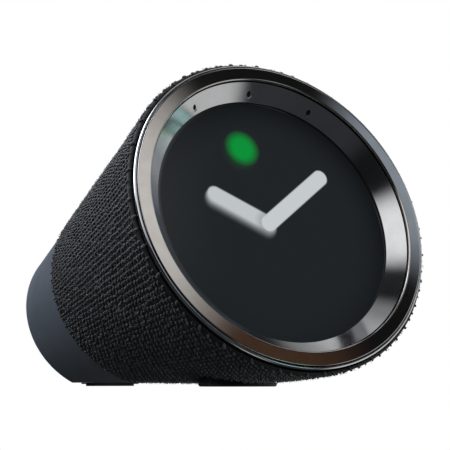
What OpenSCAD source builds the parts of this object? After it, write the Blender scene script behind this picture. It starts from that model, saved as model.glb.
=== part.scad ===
// Desk smart speaker with a round clock display: a slanted cone-shaped body with circular sections.
// The feet stand on z = 0, under the middle of the body at the origin.
// The display faces -Y and leans back by face_tilt.

/* [Stance] */
// Angle that the display leans back from upright
face_tilt = 19.5; // [18:0.5:21]
// Height of the display ring's centre above the table
face_height = 57.7; // [57:0.1:59]
// How far the display's centre stands in front of the middle of the body
centre_y = 66.7; // [66:0.1:67.4]
// Height of the body's flat underside above the table
underside_h = 1.6; // [1.2:0.1:2]

/* [Body] */
// Diameter of the body at its front edge
body_front_d = 112.2; // [112:0.1:113]
// Diameter of the body where its rear edge starts to round over
body_rear_d = 65.4; // [64:0.1:67]
// Depth from the display ring to the rear face, square to the display
body_depth = 145; // [144:0.5:148]
// How far the rear section's centre sits above the display's axis
rear_rise = 17.3; // [16.5:0.1:18]
// Radius of the rounded rear edge
rear_edge_r = 7.2; // [6:0.1:8]
// Depth of the seam between the fabric sleeve and the rear cap
seam_depth = 100; // [98:0.5:101]
// Thickness of the knitted sleeve
fabric_t = 1; // [0.8:0.1:1.2]
// Wall of the inner housing
housing_wall = 2.2; // [1.8:0.1:2.4]
// Wall of the rear cap
cap_wall = 2.4; // [2:0.1:2.6]

/* [Display] */
// Outer diameter of the polished front ring
ring_d = 108; // [107:0.1:108.2]
// Width of the ring's polished face
ring_face_w = 4.4; // [4:0.1:4.6]
// Diameter of the window that shows
window_d = 87.8; // [87:0.1:88.2]
// Depth of the window behind the ring
window_depth = 7; // [6.8:0.1:7.2]
// Diameter of each microphone hole
mic_hole_d = 1.2; // [0.8:0.1:1.4]
// Angle between microphone holes, seen from the front
mic_spread = 30; // [28:1:32]

/* [Speakers] */
// Radius of each speaker's mounting flange
flange_r = 22; // [21:0.1:22.2]
// Outer radius of the sealed speaker drum
drum_r = 25; // [24.8:0.1:25.2]
// Length of the drum from flange to flange
drum_len = 62; // [60:0.5:62]

/* [Buttons] */
// Diameter of each button
button_d = 6.8; // [6.4:0.1:7]
// Distance from one button to the next
button_pitch = 9; // [8.8:0.1:9.2]
// Gap all round a button in its hole
button_gap = 0.3; // [0.3:0.05:0.4]

/* [Feet] */
// Diameter of the front foot
front_foot_d = 27; // [26:0.5:28]
// Distance from the display's axis back to the front foot
front_foot_y = 31; // [30:0.5:32]
// Width of the rear foot
rear_foot_w = 24; // [22:0.5:25]
// Depth of the rear foot
rear_foot_d = 10; // [9:0.5:11]
// Distance from the display's axis back to the rear foot
rear_foot_y = 128.5; // [127:0.5:130]

/* [Hidden] */

$fn = 64;
shell_fn = 96;
eps = 0.01;
room = 400;

// Body sections are circles parallel to the display, shrinking and rising towards the back
front_edge = 3.3;
taper_end = body_depth - rear_edge_r;
shrink = (body_front_d - body_rear_d) / 2 / (taper_end - front_edge);
climb = rear_rise / (taper_end - front_edge);
function body_r(d) = body_front_d / 2 - shrink * (d - front_edge);
function body_y(d) = climb * (d - front_edge);

housing_in = fabric_t + housing_wall;
cap_inset = 0.4;
cap_in = cap_inset + cap_wall;

// Display stack, as depths behind the front ring
ring_r = ring_d / 2;
ring_in_r = ring_r - ring_face_w;
window_r = window_d / 2;
ring_dish = 0.4;
ring_seat = 3.3;
stack_r = window_r + 1;
gasket_t = 0.3;
window_t = 1.6;
diffuser_d = window_depth + window_t + 0.1;
diffuser_t = 1.4;
panel_d = diffuser_d + diffuser_t + 0.1;
panel_t = 2.8;
plate_d = panel_d + panel_t + 0.1;
plate_t = 2;
plate_back = plate_d + plate_t;
frame_seat = 9.3;
frame_t = 1.3;
frame_end = 17;

mic_turn = -3;
mic_angles = [for (i = [-1:1]) mic_turn + i * mic_spread];
mic_r = 46.6;
mic_board_t = 0.8;
mic_h = 1;
mic_gasket_top = 6.75;

frame_screw_angles = [60, 120, 240, 300];
frame_screw_r = 47.6;
screw_r = 1;
screw_head_r = 1.7;
screw_head_h = 1.2;

// Main board and what stands on it
board_d = 24;
board_t = 1.6;
board_r = 40;
board_y = 3;
board_back = board_d + board_t;
post_xy = 23;
post_r = 2.5;
chip_w = 14;
chip_h = 1.4;
chip_y = 8;
pad_t = 1;
sink_w = 34;
sink_base = 2;
sink_fin_h = 8;
sink_fins = 8;
fin_t = 1.2;
can_w = 18;
can_h = 3;
can_pos = [-24, -20];

// Speaker drum, lying across the body
drum_d = 66;
drum_y = 8;
drum_wall = 2;
cone_hole_r = flange_r - 2.5;
flange_gasket_t = 0.8;
flange_t = 1.4;
face_z = flange_gasket_t + flange_t;
cone_r = 15.8;
coil_r = 6.4;
coil_t = 0.3;
coil_top = -7;
basket_back = -12;
basket_back_r = 14;
plate_thick = 1.5;
magnet_h = 8;
spider_z = -9.6;
flange_screw_r = 20.8;

// Buttons along the top of the rear cap
button_r = button_d / 2;
first_button = 105.5;
function button_depth(i) = first_button + i * button_pitch;
button_proud = 0.5;
button_lip = 0.9;
button_travel = 0.5;
button_board_y = 42.6;
button_board_t = 1.2;
button_board_w = 13;
switch_h = 1.3;
switch_w = 4.6;
plunger_h = 0.5;
plunger_top = button_board_y + button_board_t + switch_h + plunger_h;

// Port panel in the rear face
port_w = 36;
port_h = 14;
port_y = 8;
port_recess = 1.2;
port_t = 2;
port_fit = 0.2;
port_back = body_depth - port_recess - port_t;
jack_x = -8;
usb_x = 9;
jack_r = 4;
jack_len = 11;
usb_shell = [8.9, 3.2];
usb_len = 7.4;

// Feet and their seats, standing square to the table
foot_seat_z = 1.3;
foot_chamfer = 0.5;
rear_foot_step = 0.8;
rear_foot_taper = 1.8;
front_foot_at = front_foot_y - centre_y;
rear_foot_at = rear_foot_y - centre_y;
tab_w = 26;
tab_front = rear_foot_at - 44.5;
tab_len = 47.5;
tab_z = underside_h + cap_wall + 0.1;
tab_t = 3;
cap_screw_x = 5.5;

// Routes of the wires, from end to end
power_route = [[-8, 4, -128], [-10, 10, -122], [-13, 24, -112], [-15, 36, -98], [-15, 40, -82],
    [-15, 41, -66], [-16, 39, -50], [-18, 34, -40], [-20, 30, -33], [-20, 29, -26.4]];
button_route = [[4, 41.4, -104], [7, 40.6, -98], [10, 40.8, -84], [11, 41, -66], [11, 39, -50],
    [11, 35, -40], [12, 31, -33], [12, 30, -26.4]];
left_route = [[-28, 8, -39.8], [-28, 4, -37], [-27, 1, -33], [-26, 0, -29], [-26, 0, -26]];
right_route = [for (p = left_route) [-p.x, p.y, p.z]];

metal = "DimGray";
soft_black = "#17181a";
circuit = "DarkGreen";
steel = "Silver";

// ---- helpers ----

module face_frame() {
    translate([0, -centre_y, face_height]) rotate([90 - face_tilt, 0, 0]) children();
}

// Solid shape of the whole body, made smaller by inset
module body(inset) {
    rounded_tail(front_edge, inset);
}

module above(z) {
    intersection() {
        children();
        translate([-room / 2, -room / 2, z]) cube(room);
    }
}

// Circle of the body's section at depth d, made smaller by inset
module section(d, inset) {
    translate([0, body_y(d), -d]) cylinder(r = body_r(d) - inset, h = eps, $fn = shell_fn);
}

module taper(from, to, inset) {
    hull() {
        section(from, inset);
        section(to, inset);
    }
}

// Rear part of the body from depth from, with its rounded end
module rounded_tail(from, inset) {
    edge = rear_edge_r - inset;
    hull() {
        section(from, inset);
        translate([0, body_y(taper_end), -taper_end]) mirror([0, 0, 1])
            rotate_extrude($fn = shell_fn) translate([body_r(taper_end) - rear_edge_r, 0])
                intersection() {
                    circle(edge, $fn = 32);
                    square(edge);
                }
    }
}

// Round bar of radius r between two depths, at a place on the display plane
module post(x, y, from, to, r) {
    translate([x, y, -to]) cylinder(r = r, h = to - from, $fn = 32);
}

// Box of size w by h between two depths, centred on a place on the display plane
module slab(x, y, w, h, from, to) {
    translate([x - w / 2, y - h / 2, -to]) cube([w, h, to - from]);
}

module ring(r_out, r_in, from, to) {
    translate([0, 0, -to]) difference() {
        cylinder(r = r_out, h = to - from, $fn = shell_fn);
        translate([0, 0, -eps]) cylinder(r = r_in, h = to - from + 2 * eps, $fn = shell_fn);
    }
}

// Puts a screw or boss on the display plane, at an angle turned clockwise from the top
module around(angle, r) {
    rotate([0, 0, -angle]) translate([0, r, 0]) children();
}

// Puts a speaker part on one end of the drum, side 1 right or -1 left, with its axis outwards
module at_drum(side) {
    face_frame() translate([side * drum_len / 2, drum_y, -drum_d]) rotate([0, side * 90, 0])
        children();
}

// Tube of radius r swept along points, with flat ends
module lead(points, r, sides = 8) {
    last = len(points) - 1;
    heading = [for (i = [0:last])
        let (v = points[min(i + 1, last)] - points[max(i - 1, 0)]) v / norm(v)];
    rings = [for (i = [0:last])
        let (a = cross(heading[i], [1, 0, 0]), u = a / norm(a), v = cross(heading[i], u))
        for (k = [0:sides - 1]) points[i] + r * (cos(k * 360 / sides) * u + sin(k * 360 / sides) * v)];
    walls = [for (i = [0:last - 1], k = [0:sides - 1])
        let (n = (k + 1) % sides)
        [i * sides + k, (i + 1) * sides + k, (i + 1) * sides + n, i * sides + n]];
    polyhedron(rings, concat(walls, [[for (k = [0:sides - 1]) k]],
        [[for (k = [sides - 1:-1:0]) last * sides + k]]));
}

// ---- display end ----

module front_ring() {
    color(metal) face_frame() rotate_extrude($fn = shell_fn) polygon([
        [ring_in_r - 0.35, -0.35], [ring_in_r, 0], [ring_r, -ring_dish], [ring_r, -ring_seat],
        [ring_r - 1.8, -ring_seat], [ring_r - 1.8, -1.5], [ring_in_r - 0.35, -1]]);
}

module trim_ring() {
    wall_r = ring_r + 0.3;
    outer_r = wall_r + 0.8;
    flange_d = ring_seat + 1.1;
    color(steel) face_frame() rotate_extrude($fn = shell_fn) polygon([
        [wall_r, -0.75], [wall_r + 0.25, -0.7], [outer_r, -1.25], [outer_r, -3.1],
        [outer_r - 0.5, -ring_seat], [outer_r - 0.5, -flange_d], [ring_r - 2.6, -flange_d],
        [ring_r - 2.6, -ring_seat], [wall_r, -ring_seat]]);
}

module inner_bezel() {
    lip = window_depth - gasket_t;
    color(metal) face_frame() difference() {
        rotate_extrude($fn = shell_fn) polygon([
            [ring_in_r - 0.5, -1.12], [window_r, -lip + 0.3], [window_r, -lip],
            [window_r + 1.5, -lip], [ring_in_r + 0.3, -2.4], [ring_in_r + 2.4, -2.4],
            [ring_in_r + 2.4, -1.6]]);
        for (a = mic_angles) around(a, mic_r - 0.6)
            translate([0, 0, -window_depth]) cylinder(d = mic_hole_d, h = window_depth, $fn = 24);
    }
}

module window_gasket() {
    color(soft_black) face_frame() ring(stack_r, window_r + 0.1, window_depth - gasket_t,
        window_depth);
}

module display_window() {
    color("#22262b") face_frame() post(0, 0, window_depth, window_depth + window_t, stack_r);
}

module light_diffuser() {
    color("WhiteSmoke") face_frame() post(0, 0, diffuser_d, diffuser_d + diffuser_t, stack_r);
}

module display_panel() {
    color(circuit) face_frame() post(0, 0, panel_d, panel_d + panel_t, stack_r);
}

module display_backplate() {
    color(steel) face_frame() difference() {
        post(0, 0, plate_d, plate_back, stack_r);
        slab(0, -30, 14, 3, plate_d - 1, plate_back + 1);
    }
}

module front_frame() {
    wall_r = ring_in_r + 0.4;
    color(soft_black) face_frame() difference() {
        rotate_extrude($fn = shell_fn) polygon([
            [wall_r, -2.5], [wall_r + 1, -2.5], [wall_r + 1, -8], [wall_r + 0.3, -frame_seat],
            [wall_r + 0.3, -frame_seat - frame_t], [stack_r + 1, -frame_seat - frame_t],
            [stack_r + 1, -frame_end], [stack_r + 0.2, -frame_end],
            [stack_r + 0.2, -frame_seat], [wall_r - 0.7, -frame_seat], [wall_r, -8.6]]);
        for (a = frame_screw_angles) around(a, frame_screw_r)
            post(0, 0, frame_seat - 1, frame_seat + frame_t + 1, screw_r + 0.1);
    }
}

module frame_screws() {
    color(steel) face_frame() for (a = frame_screw_angles) around(a, frame_screw_r) {
        post(0, 0, frame_seat - screw_head_h, frame_seat, screw_head_r);
        post(0, 0, frame_seat - eps, frame_seat + 8, screw_r);
    }
}

module mic_gaskets() {
    color(soft_black) face_frame() for (a = mic_angles) around(a, mic_r) difference() {
        post(0, 0, mic_gasket_top, frame_seat - mic_board_t - mic_h, 1.4);
        post(0, -0.3, mic_gasket_top - 1, frame_seat, mic_hole_d / 2);
    }
}

module microphones() {
    color(steel) face_frame() for (a = mic_angles) around(a, mic_r)
        slab(0, 0.3, 3.5, 2.6, frame_seat - mic_board_t - mic_h, frame_seat - mic_board_t);
}

module mic_board() {
    reach = mic_spread + 12;
    color(circuit) face_frame() translate([0, 0, -frame_seat]) rotate([0, 0, 90 - mic_turn - reach])
        rotate_extrude(angle = 2 * reach) translate([stack_r + 0.3, 0])
            square([ring_in_r - stack_r - 0.7, mic_board_t]);
}

// ---- body shells ----

module housing_shell() {
    end = seam_depth - 1.2;
    difference() {
        above(underside_h + fabric_t) face_frame() taper(front_edge + 3.2, end, fabric_t);
        above(underside_h + housing_in) face_frame() taper(front_edge, seam_depth + 1, housing_in);
    }
}

module frame_bosses() {
    depth = frame_seat + frame_t + 0.1;
    intersection() {
        face_frame() for (a = frame_screw_angles) around(a, frame_screw_r) {
            post(0, 0, depth, depth + 9, 1.7);
            slab(0, 3, 1.6, 5, depth, depth + 9);
        }
        above(underside_h + fabric_t) face_frame() taper(front_edge, seam_depth, fabric_t + eps);
    }
}

module grille_housing() {
    slots = 12;
    slot_w = 2.4;
    slot_pitch = 4.4;
    color("DarkSlateGray") difference() {
        union() {
            housing_shell();
            frame_bosses();
            translate([0, front_foot_at, foot_seat_z])
                cylinder(d = front_foot_d - 1, h = 4.5, $fn = 64);
            intersection() {
                translate([-tab_w / 2, tab_front, tab_z]) cube([tab_w, tab_len, tab_t]);
                face_frame() body(cap_in + 0.2);
            }
        }
        face_frame() {
            for (a = frame_screw_angles) around(a, frame_screw_r)
                post(0, 0, frame_seat, frame_seat + 8.5, screw_r + 0.02);
            for (i = [0:slots - 1])
                slab(0, drum_y, room, 34, drum_d + (i - slots / 2) * slot_pitch,
                    drum_d + (i - slots / 2) * slot_pitch + slot_w);
        }
        for (x = [-cap_screw_x, cap_screw_x]) translate([x, rear_foot_at, tab_z - 1])
            cylinder(r = screw_r + 0.02, h = tab_t + 2, $fn = 24);
    }
}

module fabric_sleeve() {
    color("#1b1b1d") difference() {
        above(underside_h) face_frame() taper(front_edge, seam_depth - 0.2, 0);
        above(underside_h + fabric_t) face_frame()
            taper(front_edge - 1, seam_depth + 1, fabric_t);
        translate([0, front_foot_at, -1]) cylinder(d = front_foot_d - 0.6, h = 9, $fn = 64);
    }
}

module front_hoop() {
    color(soft_black) face_frame() ring(ring_r - 0.1, ring_r - 2.6, ring_seat + 1.2, 6.4);
}

module rear_hoop() {
    color(soft_black) difference() {
        above(underside_h + fabric_t + 0.1) face_frame()
            taper(seam_depth - 1.1, seam_depth - 0.2, fabric_t + 0.1);
        above(tab_z + tab_t + 0.2) face_frame() taper(seam_depth - 2, seam_depth + 1, 6);
        translate([-tab_w / 2 - 0.2, tab_front, tab_z - 0.2])
            cube([tab_w + 0.4, tab_len, tab_t + 0.6]);
    }
}

module front_foot() {
    color(soft_black) translate([0, front_foot_at, 0]) {
        cylinder(d1 = front_foot_d - 2 * foot_chamfer, d2 = front_foot_d, h = foot_chamfer);
        translate([0, 0, foot_chamfer - eps])
            cylinder(d = front_foot_d, h = foot_seat_z - foot_chamfer + eps);
    }
}

// Oblong disc from edge to edge of the rear foot, made smaller by inset
module foot_oval(inset, z, h) {
    r = rear_foot_d / 2 - inset;
    reach = (rear_foot_w - rear_foot_d) / 2;
    translate([0, rear_foot_at, z]) {
        for (x = [-reach, reach]) translate([x, 0, 0]) cylinder(r = r, h = h, $fn = 48);
        translate([-reach, -r, 0]) cube([2 * reach, 2 * r, h]);
    }
}

module rear_foot() {
    color(soft_black) {
        foot_oval(rear_foot_taper, 0, rear_foot_step + eps);
        foot_oval(0, rear_foot_step, foot_seat_z - rear_foot_step);
    }
}

module rear_cap() {
    color("SlateGray") difference() {
        union() {
            difference() {
                union() {
                    above(underside_h) face_frame() rounded_tail(seam_depth, cap_inset);
                    foot_oval(0, foot_seat_z, cap_wall);
                }
                above(underside_h + cap_wall) face_frame() rounded_tail(seam_depth - 1, cap_in);
            }
            difference() {
                face_frame() slab(0, port_y, port_w + 4, port_h + 4, port_back - 1.5,
                    body_depth - 1);
                face_frame() slab(0, port_y, port_w - 3, port_h - 3, 0, room);
            }
        }
        face_frame() {
            slab(0, port_y, port_w, port_h, port_back, body_depth + 1);
            for (i = [0:3]) translate([0, 0, -button_depth(i)]) rotate([-90, 0, 0])
                translate([0, 0, 30]) cylinder(r = button_r + button_gap, h = 40);
        }
        for (x = [-cap_screw_x, cap_screw_x]) translate([x, rear_foot_at, 0]) {
            cylinder(r = screw_r + 0.1, h = 6, $fn = 24);
            cylinder(r = screw_head_r + 0.1, h = foot_seat_z + screw_head_h, $fn = 24);
        }
    }
}

module cap_screws() {
    color(steel) for (x = [-cap_screw_x, cap_screw_x]) translate([x, rear_foot_at, foot_seat_z]) {
        cylinder(r = screw_head_r, h = screw_head_h, $fn = 24);
        cylinder(r = screw_r, h = tab_z + tab_t - foot_seat_z, $fn = 24);
    }
}

// ---- ports ----

module port_panel() {
    color(soft_black) face_frame() difference() {
        slab(0, port_y, port_w - port_fit, port_h - port_fit, port_back, port_back + port_t);
        post(jack_x, port_y, port_back - 1, port_back + port_t + 1, jack_r + 0.1);
        slab(usb_x, port_y, usb_shell.x + 0.2, usb_shell.y + 0.2, port_back - 1,
            port_back + port_t + 1);
    }
}

module power_inlet() {
    color(steel) face_frame() {
        difference() {
            union() {
                slab(jack_x, port_y, 9.4, 10, port_back - jack_len, port_back);
                post(jack_x, port_y, port_back - eps, port_back + port_t, jack_r);
            }
            post(jack_x, port_y, port_back - jack_len + 2, port_back + port_t + 1, 2.85);
        }
        post(jack_x, port_y, port_back - jack_len + 2 - eps, port_back + 1, 1);
    }
}

module service_port() {
    color(steel) face_frame() {
        difference() {
            slab(usb_x, port_y, usb_shell.x, usb_shell.y, port_back + port_t - usb_len,
                port_back + port_t);
            slab(usb_x, port_y, usb_shell.x - 0.6, usb_shell.y - 0.6,
                port_back + port_t - usb_len + 1, port_back + port_t + 1);
        }
        slab(usb_x, port_y, 6.4, 0.7, port_back + port_t - usb_len + 1 - eps,
            port_back + port_t - 1);
        slab(usb_x, port_y, 9.4, 5, port_back - jack_len, port_back + port_t - usb_len);
    }
}

module port_board() {
    color(circuit) face_frame() slab(0, port_y, 32, 12, port_back - jack_len - board_t,
        port_back - jack_len);
}

// ---- buttons ----

// One button: a flat-topped plug with a lip under the cap's wall and a stem over its switch
module button(i) {
    d = button_depth(i);
    top = body_y(d) + body_r(d) - cap_inset + button_proud;
    lip_top = body_y(d) + body_r(d) - cap_in - 0.5;
    stem_end = plunger_top + button_travel + 0.05;
    face_frame() translate([0, 0, -d]) rotate([-90, 0, 0]) {
        translate([0, 0, lip_top - eps]) cylinder(r = button_r, h = top - lip_top - 0.4);
        translate([0, 0, top - 0.4 - 2 * eps])
            cylinder(r1 = button_r, r2 = button_r - 0.4, h = 0.4);
        translate([0, 0, lip_top - 0.6]) cylinder(r = button_r + button_lip, h = 0.6);
        translate([0, 0, stem_end]) cylinder(r = 1.4, h = lip_top - stem_end, $fn = 24);
    }
}

module volume_down_button() { color(soft_black) button(0); }
module action_button() { color(soft_black) button(1); }
module volume_up_button() { color(soft_black) button(2); }
module mic_mute_button() { color(soft_black) button(3); }

module button_board() {
    from = first_button - 5;
    color(circuit) face_frame() translate([-button_board_w / 2, button_board_y, -from - 37])
        cube([button_board_w, button_board_t, 37]);
}

module button_switches() {
    color(steel) face_frame() for (i = [0:3])
        translate([0, button_board_y + button_board_t, -button_depth(i)]) rotate([-90, 0, 0]) {
            translate([-switch_w / 2, -switch_w / 2, 0]) cube([switch_w, switch_w, switch_h]);
            translate([0, 0, switch_h - eps]) cylinder(r = 1.2, h = plunger_h + eps, $fn = 24);
        }
}

// ---- speakers ----

module speaker_drum() {
    half = drum_len / 2;
    color(soft_black) face_frame() translate([0, drum_y, -drum_d]) rotate([0, 90, 0]) difference() {
        cylinder(r = drum_r, h = drum_len, center = true, $fn = shell_fn);
        cylinder(r = drum_r - drum_wall, h = drum_len - 2 * drum_wall, center = true,
            $fn = shell_fn);
        cylinder(r = cone_hole_r, h = drum_len + 2, center = true, $fn = shell_fn);
        for (side = [-1, 1], a = [0:90:270]) rotate([0, 0, a + 45])
            translate([flange_screw_r, 0, side * half - 2.2]) cylinder(r = 0.8, h = 4.4, $fn = 24);
    }
}

module drum_bracket() {
    top_y = -8;
    color(soft_black) intersection() {
        face_frame() difference() {
            slab(0, top_y - 20, 44, 40, drum_d - 8, drum_d + 8);
            slab(0, top_y - 32, 28, 40, 0, room);
            translate([0, drum_y, -drum_d]) rotate([0, 90, 0])
                cylinder(r = drum_r + 0.05, h = room, center = true, $fn = shell_fn);
        }
        above(underside_h + housing_in) face_frame() body(housing_in + 0.1);
    }
}

module basket() {
    color(metal) difference() {
        rotate_extrude() polygon([
            [flange_r, flange_gasket_t], [flange_r, face_z], [cone_hole_r - 0.8, face_z],
            [basket_back_r - 1.2, basket_back + plate_thick], [8, basket_back + plate_thick],
            [8, basket_back], [basket_back_r, basket_back], [cone_hole_r - 0.2, flange_gasket_t]]);
        for (a = [0:60:300]) rotate([0, 0, a]) translate([10, -3, basket_back + 2.4])
            cube([9, 6, 7]);
        for (a = [0:90:270]) rotate([0, 0, a + 45]) translate([flange_screw_r, 0, 0])
            cylinder(r = 0.8, h = 4, $fn = 24);
    }
}

module magnet() {
    back = basket_back - magnet_h;
    color(steel) rotate_extrude() polygon([
        [0, back - plate_thick], [basket_back_r - 0.5, back - plate_thick],
        [basket_back_r - 0.5, basket_back], [7.2, basket_back], [7.2, back], [5.6, back],
        [5.6, basket_back + 1], [0, basket_back + 1]]);
}

module voice_coil() {
    color("Peru") translate([0, 0, basket_back - magnet_h + 2.5]) difference() {
        cylinder(r = coil_r + coil_t, h = coil_top - basket_back + magnet_h - 2.5);
        translate([0, 0, -1]) cylinder(r = coil_r, h = room);
    }
}

module cone() {
    color(soft_black) rotate_extrude() polygon([
        [0, coil_top + 1.6], [3.5, coil_top + 1.2], [coil_r - 0.2, coil_top],
        [coil_r + 0.3, coil_top], [cone_r, face_z - 0.3], [cone_r, face_z + 0.2],
        [coil_r, coil_top + 0.5], [3.6, coil_top + 1.8], [0, coil_top + 2.2]]);
}

module spider() {
    steps = 4;
    inner_r = coil_r + coil_t;
    width = (basket_back_r - 1.5 - inner_r) / (2 * steps);
    outline = [for (k = [0:2 * steps]) [inner_r + k * width, spider_z + 0.4 * (k % 2)]];
    back = [for (k = [2 * steps:-1:0]) outline[k] + [0, 0.3]];
    color("Khaki") rotate_extrude() polygon(concat(outline, back));
}

module surround() {
    mid = (cone_r + cone_hole_r) / 2;
    roll = mid - cone_r;
    color(soft_black) rotate_extrude() difference() {
        translate([mid, face_z + 0.25]) circle(roll, $fn = 32);
        translate([mid, face_z + 0.25]) circle(roll - 0.5, $fn = 32);
        translate([0, -room + face_z + 0.25]) square(room);
    }
}

module left_basket() { at_drum(-1) basket(); }
module left_magnet() { at_drum(-1) magnet(); }
module left_voice_coil() { at_drum(-1) voice_coil(); }
module left_cone() { at_drum(-1) cone(); }
module left_spider() { at_drum(-1) spider(); }
module left_surround() { at_drum(-1) surround(); }
module right_basket() { at_drum(1) basket(); }
module right_magnet() { at_drum(1) magnet(); }
module right_voice_coil() { at_drum(1) voice_coil(); }
module right_cone() { at_drum(1) cone(); }
module right_spider() { at_drum(1) spider(); }
module right_surround() { at_drum(1) surround(); }

module flange_gaskets() {
    color(soft_black) for (side = [-1, 1]) at_drum(side) difference() {
        cylinder(r = flange_r, h = flange_gasket_t);
        translate([0, 0, -1]) cylinder(r = cone_hole_r, h = 3);
        for (a = [0:90:270]) rotate([0, 0, a + 45]) translate([flange_screw_r, 0, -1])
            cylinder(r = 0.8, h = 4, $fn = 24);
    }
}

module flange_screws() {
    color(steel) for (side = [-1, 1], a = [0:90:270]) at_drum(side) rotate([0, 0, a + 45])
        translate([flange_screw_r, 0, 0]) {
            translate([0, 0, face_z]) cylinder(r = 1.1, h = 0.7, $fn = 24);
            translate([0, 0, -1.8]) cylinder(r = 0.75, h = face_z + 2, $fn = 24);
        }
}

// ---- electronics ----

module main_board() {
    color(circuit) face_frame() difference() {
        post(0, board_y, board_d, board_back, board_r);
        for (x = [-post_xy, post_xy], y = [-post_xy, post_xy])
            post(x, board_y + y, board_d - 1, board_back + 1, screw_r + 0.1);
    }
}

module board_standoffs() {
    color(steel) face_frame() for (x = [-post_xy, post_xy], y = [-post_xy, post_xy]) difference() {
        post(x, board_y + y, plate_back, board_d, post_r);
        post(x, board_y + y, board_d - 6, board_d + 1, screw_r + 0.02);
    }
}

module board_screws() {
    color(steel) face_frame() for (x = [-post_xy, post_xy], y = [-post_xy, post_xy]) {
        post(x, board_y + y, board_back, board_back + screw_head_h, screw_head_r);
        post(x, board_y + y, board_d - 5, board_back + eps, screw_r);
    }
}

module processor() {
    color(soft_black) face_frame() slab(0, chip_y, chip_w, chip_w, board_back,
        board_back + chip_h);
}

module thermal_pad() {
    color("LightSteelBlue") face_frame() slab(0, chip_y, chip_w, chip_w, board_back + chip_h,
        board_back + chip_h + pad_t);
}

module heat_sink() {
    base = board_back + chip_h + pad_t;
    step = (sink_w - fin_t) / (sink_fins - 1);
    color(steel) face_frame() {
        slab(0, chip_y, sink_w, sink_w, base, base + sink_base);
        for (i = [0:sink_fins - 1])
            slab(-sink_w / 2 + fin_t / 2 + i * step, chip_y, fin_t, sink_w, base + sink_base - eps,
                base + sink_base + sink_fin_h);
    }
}

module shield_can() {
    color(steel) face_frame() difference() {
        slab(can_pos.x, can_pos.y, can_w, can_w, board_back, board_back + can_h);
        slab(can_pos.x, can_pos.y, can_w - 0.6, can_w - 0.6, board_back - 1,
            board_back + can_h - 0.3);
    }
}

module wifi_antenna() {
    color(circuit) face_frame() slab(-29, 16, 0.8, 20, board_back, board_back + 7);
}

module power_capacitors() {
    color(metal) face_frame() for (i = [0:2])
        post(16 + i * 9, -14 + 2 * i, board_back, board_back + 9, 4);
}

module display_cable() {
    color("Peru") face_frame() slab(0, -30, 12, 0.3, panel_d + panel_t, board_d);
}

module power_lead() { color("Black") face_frame() lead(power_route, 1); }
module button_cable() { color("DarkRed") face_frame() lead(button_route, 0.9); }
module speaker_leads() {
    color("FireBrick") face_frame() {
        lead(left_route, 0.8);
        lead(right_route, 0.8);
    }
}

front_ring();
trim_ring();
inner_bezel();
window_gasket();
display_window();
light_diffuser();
display_panel();
display_backplate();
front_frame();
frame_screws();
mic_gaskets();
microphones();
mic_board();
grille_housing();
fabric_sleeve();
front_hoop();
rear_hoop();
front_foot();
rear_foot();
rear_cap();
cap_screws();
port_panel();
power_inlet();
service_port();
port_board();
volume_down_button();
volume_up_button();
action_button();
mic_mute_button();
button_board();
button_switches();
speaker_drum();
drum_bracket();
left_basket();
left_magnet();
left_voice_coil();
left_cone();
left_spider();
left_surround();
right_basket();
right_magnet();
right_voice_coil();
right_cone();
right_spider();
right_surround();
flange_gaskets();
flange_screws();
main_board();
board_standoffs();
board_screws();
processor();
thermal_pad();
heat_sink();
shield_can();
wifi_antenna();
power_capacitors();
display_cable();
power_lead();
speaker_leads();
button_cable();
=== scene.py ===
import math

import bmesh
import bpy
import numpy as np
from mathutils import Matrix


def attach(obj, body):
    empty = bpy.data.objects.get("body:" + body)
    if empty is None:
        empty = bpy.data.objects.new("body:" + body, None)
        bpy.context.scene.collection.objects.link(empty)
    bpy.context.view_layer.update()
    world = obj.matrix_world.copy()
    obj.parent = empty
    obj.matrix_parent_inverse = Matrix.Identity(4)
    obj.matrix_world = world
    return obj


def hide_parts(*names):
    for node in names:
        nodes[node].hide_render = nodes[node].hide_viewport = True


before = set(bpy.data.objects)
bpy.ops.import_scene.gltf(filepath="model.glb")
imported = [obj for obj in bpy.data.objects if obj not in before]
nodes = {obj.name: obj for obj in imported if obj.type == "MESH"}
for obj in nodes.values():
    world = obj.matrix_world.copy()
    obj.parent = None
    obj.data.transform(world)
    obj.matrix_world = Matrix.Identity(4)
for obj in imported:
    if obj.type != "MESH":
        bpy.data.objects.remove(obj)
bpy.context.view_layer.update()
mm = 0.001
rng = np.random.default_rng(7)

# How the body stands, in millimetres and degrees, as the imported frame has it
stance = {"tilt": 19.5, "back": 66.7, "height": 57.7, "underside": 1.6}

# The body's round sections: radius and rise at a depth behind the display ring
bodyShape = {
    "front": 3.3, "frontRadius": 56.1, "taper": 23.4 / 134.5, "climb": 17.3 / 134.5,
    "taperEnd": 137.8, "rearEdge": 7.2, "seam": 100,
}

tilt = math.radians(stance["tilt"])
sinTilt, cosTilt = math.sin(tilt), math.cos(tilt)


# A point x across and y up the display plane and d behind it, in metres in the shared frame:
# back = y sin tilt + d cos tilt, up = y cos tilt - d sin tilt, from where the display stands
def toFrame(x, y, d):
    x, y, d = np.broadcast_arrays(x, y, d)
    back = y * sinTilt + d * cosTilt - stance["back"]
    up = stance["height"] + y * cosTilt - d * sinTilt
    return np.stack([x, back, up], -1) * mm


# The section at depth d: its radius shrinks and its centre climbs in proportion to the depth
def sectionRadius(d):
    return bodyShape["frontRadius"] - bodyShape["taper"] * (d - bodyShape["front"])


def sectionRise(d):
    return bodyShape["climb"] * (d - bodyShape["front"])


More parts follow.
